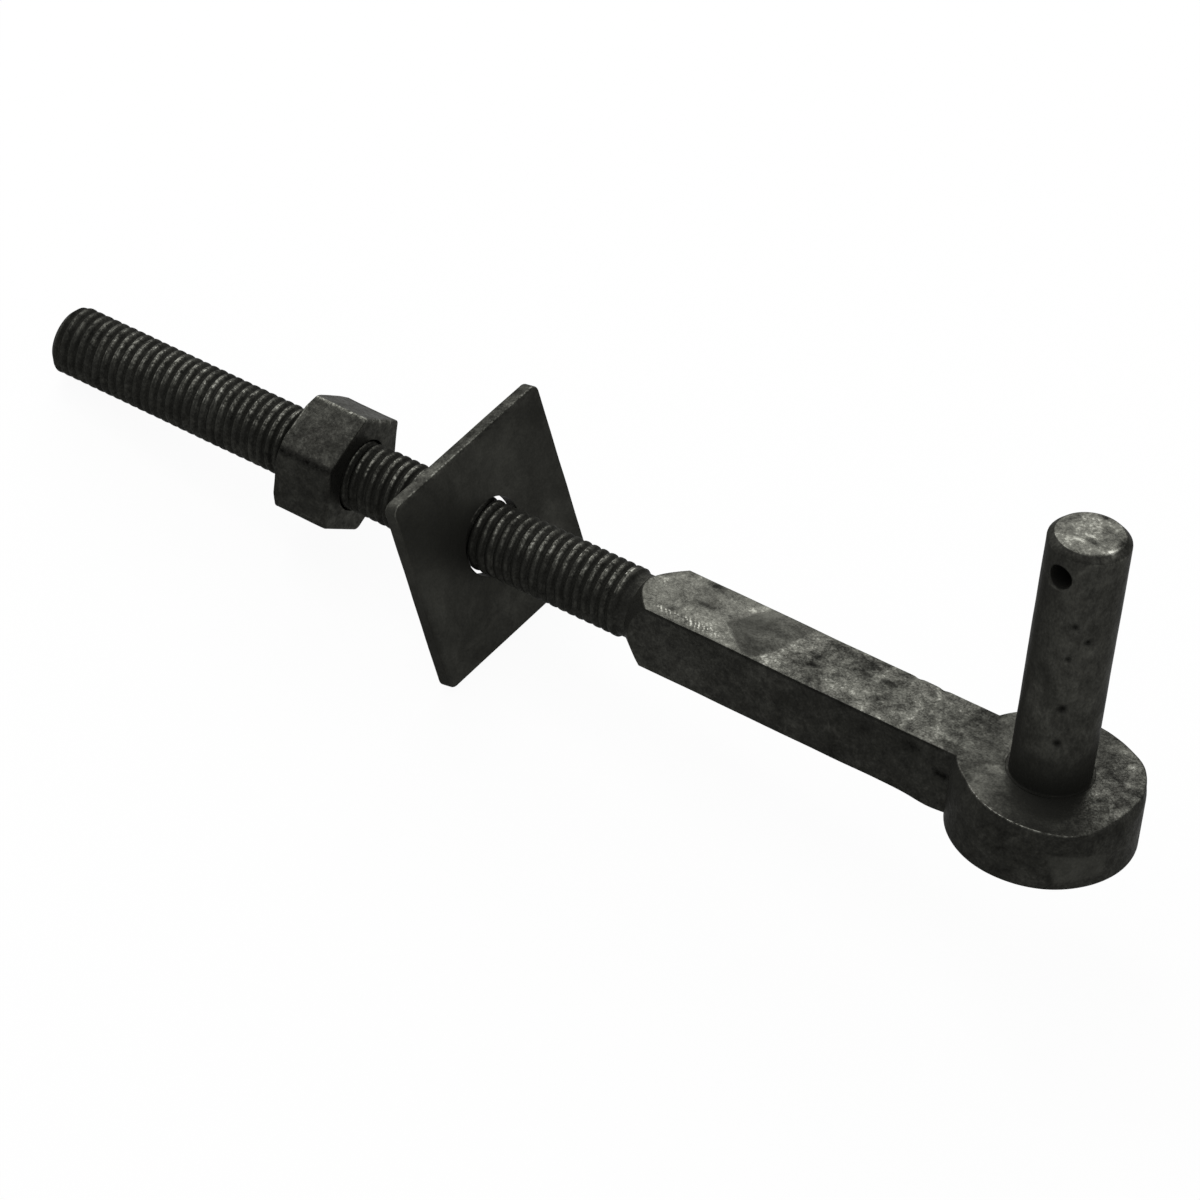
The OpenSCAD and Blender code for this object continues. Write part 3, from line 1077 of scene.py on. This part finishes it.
@dataclass
class PlateWasher:
    """Square plate with a punched hole, which hangs leaning on the rod. Sizes in mm, angles in degrees."""

    side: float = 54.2
    thick: float = 3.3
    corner_r: float = 2.4
    hole_r: float = 9.85
    hole_up: float = 0.3
    edge_round: float = 0.3
    lean: float = 15.5
    swing: float = -7.0
    turn: float = 10.9
    relief: Relief = Relief(seed=31, height=0.05, shortest=12.0, longest=60.0)
    face_share: float = 0.27
    rim_share: float = 0.3
    face_grain: float = 0.25
    rim_grain: float = 0.7
    # Clouds in the plate's own frame: its thickness along X and its hole's axis at the middle
    clouds: tuple[Spot, ...] = (
        Spot((0.0, 8.0, 16.9), (4.0, 8.0, 14.0), 0.12),
        Spot((0.0, -20.0, 10.0), (4.0, 10.0, 18.0), 0.25),
        Spot((0.0, -27.1, 0.0), (4.0, 0.35, 40.0), -0.2),
        Spot((0.0, 20.0, -5.6), (4.0, 3.0, 9.0), 0.2),
        Spot((0.0, -0.6, -18.9), (4.0, 6.0, 4.0), 0.16),
    )

    def outline(self, per_side: int = 34, per_corner: int = 10) -> Array:
        """Outline of the square: four straight sides and four corner arcs.

        Args:
            per_side: Points along a side.
            per_corner: Points round a corner.

        Returns:
            The points across and up, round the middle of the plate.
        """
        half = self.side / 2 - self.corner_r
        quarter = np.arange(4)[:, None] * np.pi / 2
        turn = quarter + np.linspace(0.0, np.pi / 2, per_corner)
        eighth = quarter + np.pi / 4
        corner_at = half * math.sqrt(2) * np.stack([np.cos(eighth), np.sin(eighth)], axis=-1)
        arcs = corner_at + self.corner_r * np.stack([np.cos(turn), np.sin(turn)], axis=-1)
        share = np.linspace(0.0, 1.0, per_side + 2)[1:-1, None]
        sides = arcs[:, -1:] + share * (np.roll(arcs[:, :1], -1, axis=0) - arcs[:, -1:])
        return np.concatenate([arcs, sides], axis=1).reshape(-1, 2)

    def plate_shell(self) -> Shell:
        """Plate in its own frame: its thickness along X and its middle at the origin.

        Each ring lies between the hole's circle and the square outline, and the rings run from the hole over
        one face, round the edge, over the other face and back through the hole.

        Returns:
            The closed surface.
        """
        outer = self.outline()
        hole_at = np.array([0.0, self.hole_up])
        inner = outer - hole_at
        inner = hole_at + self.hole_r * inner / np.linalg.norm(inner, axis=1, keepdims=True)
        outward = outer - np.clip(outer, self.corner_r - self.side / 2, self.side / 2 - self.corner_r)
        outward /= np.linalg.norm(outward, axis=1, keepdims=True)
        bevel, half, flat = self.edge_round, self.thick / 2, np.zeros(len(outer))
        rings, depth, edge = [], [], []
        arc = np.linspace(0.0, np.pi / 2, 5)
        for side in (1.0, -1.0):
            turns = arc if side > 0 else arc[::-1]
            shares = np.linspace(0.0, 1.0, 15) if side > 0 else np.linspace(1.0, 0.0, 15)
            face = [(inner + share * (outer - bevel * outward - inner), half * side, flat)
                    for share in shares]
            rim = [(outer - bevel * (1 - math.sin(t)) * outward, (half - bevel * (1 - math.cos(t))) * side,
                    math.sin(2 * t) * (outer[:, 1] > 0.45 * self.side)) for t in turns]
            rim += [(outer, share * (half - bevel), flat)
                    for share in (0.8, 0.4, 0.0, -0.4, -0.8)] * (side > 0)
            for ring, x, worn in (face + rim if side > 0 else rim + face):
                rings.append(ring)
                depth.append(x)
                edge.append(worn)
        rings_yz = np.stack(rings)
        x = np.broadcast_to(np.array(depth)[:, None], rings_yz.shape[:2])
        points = np.concatenate([x[..., None], rings_yz], axis=-1)
        return ring_shell(points, np.stack(edge), closed=True)

    def build(self) -> bpy.types.Object:
        """Builds the washer, sets it where it hangs and lets it stand for its CAD node.

        Returns:
            The finished object.
        """
        low, high = box_mm("plate_washer")
        shell = self.plate_shell()
        at_rim = smoothstep(-0.5, 0.0, shell.points[:, 2] - self.side / 2 + self.edge_round)
        share = self.face_share + (self.rim_share - self.face_share) * at_rim
        share = share + sum(cloud.paint(shell.points) for cloud in self.clouds)
        grain = self.face_grain + (self.rim_grain - self.face_grain) * at_rim
        shell.points = shell.points + self.relief.push(shell.points)
        lean = Matrix.Rotation(math.radians(self.swing), 3, "Z") @ Matrix.Rotation(
            -math.radians(self.lean), 3, "Y") @ Matrix.Rotation(math.radians(self.turn), 3, "X")
        shell.points = shell.points @ np.array(lean).T + (low + high) / 2
        mesh = shell_mesh("plate_washer", shell, share, grain)
        piece = make_piece("plate_washer_rolled", [mesh], PLATE_SCALE.material())
        stands_for(piece, "plate_washer", Body.WASHER)
        return piece


@dataclass
class HexNut:
    """Hexagon nut, with the corners of its face towards the rod's tip turned down. In mm and degrees."""

    across_flats: float = 28.8
    corner_drop: float = 0.9
    bore_r: float = 9.0
    countersink: float = 0.3
    face_round: float = 0.6
    top_corner: float = 89.3
    # Rounding of the six corners, from the top one towards the near side
    corner_rounds: tuple[float, ...] = (0.5, 1.8, 1.4, 1.8, 1.0, 0.7)
    relief: Relief = Relief(seed=43, height=0.05, shortest=6.0, longest=30.0)
    # Wear of the corners and of both ends, within this angle of the top corner
    corner_wear: float = 0.8
    end_wear: float = 0.6
    worn_angle: float = 60.0
    share: float = 0.15
    # Rubbed shares of the upper flat in front, the upper flat behind and the face towards the boss: wear, and
    # painted light that lightens these faces
    upper_wear_and_light: float = 0.29
    near_wear_and_light: float = 0.39
    back_wear_and_light: float = 0.5
    grain: float = 0.5
    stripe_angle: float = 149.0
    stripe_width: float = 3.5
    stripe_share: float = -0.45

    def outline(self, angle: Array) -> Array:
        """Radius of the hexagon with rounded corners.

        A flat's radius is its distance over the cosine of the angle from its middle. Between the points where
        a circle touches the two flats of a corner, it is the distance to that circle.

        Args:
            angle: Angles from +Y towards +Z.

        Returns:
            The radius at each angle.
        """
        flat, sixth = self.across_flats / 2, np.pi / 3
        turned = angle - math.radians(self.top_corner) + sixth / 2
        from_corner = turned % sixth - sixth / 2
        rounding = np.array(self.corner_rounds)[(turned // sixth).astype(int) % 6]
        straight = flat / np.cos(sixth / 2 - np.abs(from_corner))
        middle = (flat - rounding) / math.cos(sixth / 2)
        offset = middle * np.sin(from_corner)
        rounded = middle * np.cos(from_corner) + np.sqrt(np.maximum(rounding ** 2 - offset ** 2, 0.0))
        at_corner = rounded * np.abs(np.sin(from_corner)) < rounding * math.sin(sixth / 2)
        return np.where(at_corner, rounded, straight)

    def nut_shell(self, length: float, cols: int = 288) -> Shell:
        """Nut with the face towards the rod's tip at 0 and the other at its length along X.

        Rings run from the bore over one face, along the flats, over the other face and back through the bore.
        At the first face a point's radius is the hexagon's or the turned cone's, whichever is less.

        Args:
            length: Length of the nut.
            cols: Points in each ring.

        Returns:
            The closed surface.
        """
        angle = np.linspace(0.0, 2 * np.pi, cols, endpoint=False)
        hexagon = self.outline(angle)
        corner_r = self.across_flats / math.sqrt(3)
        face_r = corner_r - self.corner_drop * math.sqrt(3)
        sink_r, flat, bevel = self.bore_r + self.countersink, np.ones(cols), self.face_round
        rows: list[tuple[Array, float]] = [(self.bore_r * flat, self.countersink), (sink_r * flat, 0.0)]
        face_edge = np.minimum(hexagon - 0.12, face_r)
        rows += [(sink_r + share * (face_edge - sink_r), 0.0) for share in np.linspace(0.08, 1.0, 8)]
        depths = np.concatenate([np.linspace(0.0, 1.6, 12)[1:], np.linspace(1.6, length - bevel, 16)[1:]])
        rows += [(np.minimum(hexagon, face_r + depth * math.sqrt(3)), depth) for depth in depths]
        rows += [(hexagon - bevel * (1 - math.cos(turn)), length - bevel * (1 - math.sin(turn)))
                 for turn in np.linspace(0.0, np.pi / 2, 5)[1:]]
        rows += [(sink_r + share * (hexagon - bevel - sink_r), length)
                 for share in np.linspace(1.0, 0.0, 9)[1:]]
        rows += [(self.bore_r * flat, length - self.countersink)]
        radius = np.stack([r for r, _ in rows])
        x = np.array([at for _, at in rows])[:, None]
        points = np.stack(np.broadcast_arrays(x, radius * np.cos(angle), radius * np.sin(angle)), axis=-1)
        top = np.exp(-((np.degrees(angle) - self.top_corner) / self.worn_angle) ** 4)
        cornered = smoothstep(0.97, 0.99, hexagon / corner_r)
        at_end = np.minimum(x, length - x) < 0.5
        worn = (radius > hexagon - 0.9) * top * np.maximum(
            self.corner_wear * cornered, self.end_wear * at_end)
        return ring_shell(points, worn, closed=True)

    def rubbed(self, points: Array) -> Array:
        """Rubbed share: wear and painted light on the upper flats and the face towards the boss, none in the
        bore.

        Args:
            points: Points of the nut, with its axis along X and the face towards the boss at the highest x.

        Returns:
            The share at each point, with a stripe along the near corner that has none.
        """
        angle = np.degrees(np.arctan2(points[:, 2], points[:, 1])) % 360.0
        reach = np.hypot(points[:, 1], points[:, 2])
        share = np.interp(
            angle, (30.0, 40.0, self.top_corner - 1.0, self.top_corner + 1.0, 140.0, 150.0),
            (self.share, self.back_wear_and_light, self.back_wear_and_light, self.upper_wear_and_light, self.upper_wear_and_light, self.share))
        share = share + self.stripe_share * np.exp(-(((angle - self.stripe_angle) / self.stripe_width) ** 2))
        near = smoothstep(points[:, 0].max() - 0.3, points[:, 0].max(), points[:, 0])
        share = share + (self.near_wear_and_light - share) * near
        return share * smoothstep(self.bore_r, self.bore_r + self.countersink, reach)

    def build(self) -> bpy.types.Object:
        """Builds the nut, sets it on the rod and lets it stand for its CAD node.

        Returns:
            The finished object.
        """
        low, high = box_mm("hex_nut")
        shell = self.nut_shell(high[0] - low[0])
        share = self.rubbed(shell.points)
        shell.points = shell.points + np.array([low[0], 0.0, (low[2] + high[2]) / 2])
        shell.points = shell.points + self.relief.push(shell.points)
        mesh = shell_mesh("hex_nut", shell, share, self.grain)
        piece = make_piece("hex_nut_forged", [mesh], NUT_SCALE.material())
        stands_for(piece, "hex_nut", Body.NUT)
        return piece


@dataclass(frozen=True)
class Softbox:
    """A flat lamp that faces the bolt.

    Attributes:
        name: Name of the lamp.
        heading: Direction from the bolt to the lamp.
        size: Width and height, m.
        radiance: Brightness of its face, where 1 is white.
        distance: Distance from the bolt's middle, m.
    """

    name: str
    heading: Point
    size: tuple[float, float]
    radiance: float
    distance: float = 2.2

    def hang(self, middle: Point) -> None:
        """Hangs the lamp.

        Args:
            middle: Place that it faces, m.
        """
        lamp = bpy.data.lights.new(self.name, "AREA")
        lamp.shape = "RECTANGLE"
        lamp.size, lamp.size_y = self.size
        lamp.energy = self.radiance * self.size[0] * self.size[1] * math.pi
        holder = bpy.data.objects.new(self.name, lamp)
        way = Vector(self.heading).normalized()
        turn = way.to_track_quat("Z", "Y").to_matrix().to_4x4()
        holder.matrix_world = Matrix.Translation(Vector(middle) + way * self.distance) @ turn
        holder.visible_camera = False
        bpy.context.scene.collection.objects.link(holder)


@dataclass
class Studio:
    """Floor, lamps, white surround and camera. Lengths in metres."""

    middle: Point = (-0.13, 0.0, 0.0)
    floor_x: float = -0.12
    floor_half: float = 1.4
    # Distance along the washer's lowest edge that its second point has to be from its first
    edge_apart: float = 0.03
    camera_at: Point = (0.4433, -0.9903, 0.8495)
    camera_forward: Point = (-0.3959, 0.6928, -0.6027)
    camera_up: Point = (-0.3931, 0.4653, 0.7931)
    lens_mm: float = 180.6
    # White of the floor where it is seen, and the share of that in its look
    paper_white: float = 1.02
    paper_share: float = 0.93
    # Strength of the surround where it only lights the bolt
    surround_soft: float = 0.45
    # Grey cloth behind the camera: its place, width, height and brightness
    flag_y: float = -2.2
    flag_width: tuple[float, float] = (-2.8, 1.8)
    flag_height: tuple[float, float] = (0.35, 2.4)
    flag_level: float = 0.3
    lamps: tuple[Softbox, ...] = (
        Softbox("softbox_behind", (-0.46, 0.66, 0.60), (1.7, 1.2), 3.8),
        Softbox("key_lamp", (-0.40, 0.12, 0.91), (0.55, 0.55), 8.0),
        Softbox("softbox_above", (-0.30, -0.15, 0.94), (1.4, 1.4), 1.3),
    )

    def rest_plane(self) -> tuple[Vector, Vector]:
        """Plane that the bolt lies on: through the washer's lowest edge, and touching the boss.

        Of the planes through that edge and a point of the bar, it is the one with no point of the bar below.

        Returns:
            A point of the plane and its upward normal.
        """
        washer = np.array([v.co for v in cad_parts["plate_washer"].data.vertices])
        bar = np.array([v.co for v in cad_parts["hook_bar"].data.vertices])
        first = washer[washer[:, 2].argmin()]
        apart = washer[np.linalg.norm(washer - first, axis=1) > self.edge_apart]
        second = apart[apart[:, 2].argmin()]
        normals = np.cross(second - first, bar - first)
        normals *= np.sign(normals[:, 2:3])
        normals /= np.linalg.norm(normals, axis=1, keepdims=True)
        lowest = (normals @ (bar - first).T).min(axis=1)
        return Vector(first), Vector(normals[lowest.argmax()])

    def build_floor(self) -> None:
        """Lays a pale floor under the bolt, white to the eye, which takes a faint shadow."""
        point, normal = self.rest_plane()
        spot = Vector((self.floor_x, 0.0, 0.0))
        spot.z = point.z - (normal.x * (spot.x - point.x) + normal.y * (spot.y - point.y)) / normal.z
        side = Vector((0.0, 1.0, 0.0)).cross(normal).normalized()
        deep = normal.cross(side)
        corners = [spot + self.floor_half * (a * side + b * deep)
                   for a, b in ((-1, -1), (1, -1), (1, 1), (-1, 1))]
        mesh = bpy.data.meshes.new("floor")
        mesh.from_pydata([tuple(c) for c in corners], [], [(0, 1, 2, 3)])
        mesh.materials.append(self.floor_material())
        floor = bpy.data.objects.new("floor", mesh)
        bpy.context.scene.collection.objects.link(floor)

    def seen_rays(self, tree: bpy.types.NodeTree) -> bpy.types.NodeSocket:
        """Adds nodes that tell which rays see a surface, rather than only being lit by it.

        Args:
            tree: Node tree that gets the nodes.

        Returns:
            A socket with 1 for rays from the camera, from gloss and through glass.
        """
        rays = add_node(tree, "ShaderNodeLightPath", {}).outputs
        direct = add_node(tree, "ShaderNodeMath", {0: rays["Is Camera Ray"], 1: rays["Is Glossy Ray"]},
                          operation="MAXIMUM").outputs[0]
        return add_node(tree, "ShaderNodeMath", {0: direct, 1: rays["Is Transmission Ray"]},
                        operation="MAXIMUM").outputs[0]

    def floor_material(self) -> bpy.types.Material:
        """Matt white paper: mostly its own white where it is seen, so that only a soft shadow shows.

        Returns:
            The material.
        """
        material = bpy.data.materials.new("studio_paper_white")
        material.use_nodes = True
        tree = material.node_tree
        tree.nodes.clear()
        paper = add_node(tree, "ShaderNodeBsdfDiffuse", {"Color": linear("#e6e6e6")}).outputs[0]
        white = add_node(tree, "ShaderNodeEmission", {"Strength": self.paper_white}).outputs[0]
        share = add_node(tree, "ShaderNodeMath", {0: self.seen_rays(tree), 1: self.paper_share},
                         operation="MULTIPLY").outputs[0]
        shown = add_node(tree, "ShaderNodeMixShader", {0: share, 1: paper, 2: white}).outputs[0]
        add_node(tree, "ShaderNodeOutputMaterial", {"Surface": shown})
        return material

    def build_world(self) -> None:
        """Surrounds the scene with white where it is seen, and a softer grey light elsewhere."""
        world = bpy.data.worlds.new("studio_surround")
        bpy.context.scene.world = world
        world.use_nodes = True
        tree = world.node_tree
        tree.nodes.clear()
        soft = add_node(tree, "ShaderNodeBackground", {"Strength": self.surround_soft}).outputs[0]
        white = add_node(tree, "ShaderNodeBackground", {"Strength": 1.0}).outputs[0]
        for shader in (soft, white):
            shader.node.inputs["Color"].default_value = (1.0, 1.0, 1.0, 1.0)
        shown = add_node(tree, "ShaderNodeMixShader", {0: self.seen_rays(tree), 1: soft, 2: white}).outputs[0]
        add_node(tree, "ShaderNodeOutputWorld", {"Surface": shown})

    def build_flag(self) -> None:
        """Hangs a grey cloth behind the camera: the dim side of the room, which only gloss shows."""
        (left, right), (low, high), y = self.flag_width, self.flag_height, self.flag_y
        mesh = bpy.data.meshes.new("room_flag")
        corners = [(left, y, low), (right, y, low), (right, y, high), (left, y, high)]
        mesh.from_pydata(corners, [], [(0, 1, 2, 3)])
        material = bpy.data.materials.new("studio_cloth_grey")
        material.use_nodes = True
        tree = material.node_tree
        tree.nodes.clear()
        cloth = add_node(tree, "ShaderNodeEmission", {"Strength": self.flag_level}).outputs[0]
        add_node(tree, "ShaderNodeOutputMaterial", {"Surface": cloth})
        mesh.materials.append(material)
        flag = bpy.data.objects.new("room_flag", mesh)
        flag.visible_camera = flag.visible_diffuse = flag.visible_shadow = False
        bpy.context.scene.collection.objects.link(flag)

    def build_camera(self) -> None:
        """Sets the camera at the photograph's place, with its turn from the forward and up directions."""
        lens = bpy.data.cameras.new("camera")
        lens.sensor_width = 36.0
        lens.lens = self.lens_mm
        camera = bpy.data.objects.new("camera", lens)
        back = -Vector(self.camera_forward).normalized()
        right = Vector(self.camera_up).cross(back).normalized()
        turn = Matrix((right, back.cross(right), back)).transposed()
        camera.matrix_world = Matrix.Translation(self.camera_at) @ turn.to_4x4()
        bpy.context.scene.collection.objects.link(camera)
        bpy.context.scene.camera = camera

    def build(self) -> None:
        """Builds the floor, the light and the camera."""
        self.build_floor()
        self.build_world()
        for lamp in self.lamps:
            lamp.hang(self.middle)
        self.build_flag()
        self.build_camera()
        bpy.context.scene.view_settings.view_transform = "Standard"


def main() -> None:
    """Builds the pieces and the studio."""
    logging.basicConfig(level=logging.INFO, format="%(name)s: %(message)s")
    for part in (HookBar(), HingePin(), PlateWasher(), HexNut()):
        part.build()
    Studio().build()


if __name__ == "__main__":
    main()
